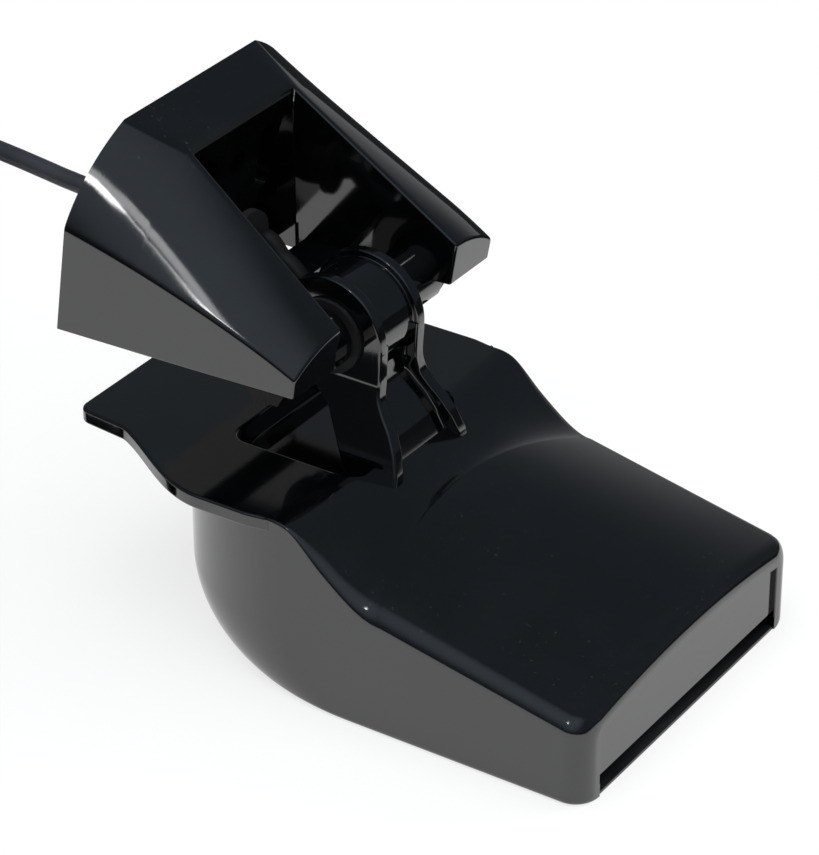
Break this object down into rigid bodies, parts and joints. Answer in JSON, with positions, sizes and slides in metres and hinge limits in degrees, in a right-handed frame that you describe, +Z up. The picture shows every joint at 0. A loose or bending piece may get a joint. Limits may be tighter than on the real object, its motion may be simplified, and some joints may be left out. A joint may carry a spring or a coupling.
{
  "type": "sonar transducer",
  "caption": "Transom sonar transducer: wedge-shaped moulded housing on an arm that kicks up in a forked bracket, with a coiled cable and connector.",
  "frame": {"origin": "centre of the bottom of the housing and bracket, without the cable, on the surface it stands on", "axes": "+X aft to the tail, +Y starboard, +Z up"},
  "size_m": [0.2867, 0.1009, 0.1066],
  "materials": {
    "black_plastic": "polished black",
    "window_plastic": "fine satin",
    "stainless": "plain turned",
    "friction_rubber": "matte",
    "soft_rubber": "matte",
    "cable_jacket": "satin",
    "tie_nylon": "satin",
    "plug_plastic": "satin",
    "contact_brass": "gold plated",
    "bush_nylon": "natural",
    "matching_resin": "filled resin",
    "piezo_ceramic": "fired",
    "cork": "pressed cork",
    "board_laminate": "solder resist",
    "copper_winding": "enamelled",
    "lead_wire": "insulated",
    "potting_resin": "cast",
    "gland_plastic": "satin"
  },
  "bodies": {
    "bracket": {"bracket": "black_plastic", "pivot_bolt": "stainless", "bolt_washers": "stainless", "pivot_nut": "stainless", "friction_washers": "friction_rubber", "cable_grommet": "soft_rubber", "lead_in_bracket": "cable_jacket", "cable": "cable_jacket", "cable_coil": "cable_jacket", "coil_tie": "tie_nylon", "cable_tail": "cable_jacket", "connector_boot": "soft_rubber", "connector_body": "plug_plastic", "coupling_ring": "plug_plastic", "connector_pins": "contact_brass"},
    "transducer": {"housing": "black_plastic", "pivot_bush": "bush_nylon", "base_plate": "window_plastic", "matching_layer": "matching_resin", "piezo_disc": "piezo_ceramic", "cork_ring": "cork", "cork_backing": "cork", "circuit_board": "board_laminate", "tuning_coil": "copper_winding", "element_leads": "lead_wire", "potting": "potting_resin", "inner_cable": "cable_jacket", "cable_gland": "gland_plastic"}
  },
  "joints": [
    {"name": "kick_up", "type": "hinge", "parent": "bracket", "child": "transducer", "pos_m": [-0.0155, 0, 0.064], "axis": [0, -1, 0], "range_deg": [-15, 70], "deforming": ["lead_in_bracket"]}
  ]
}
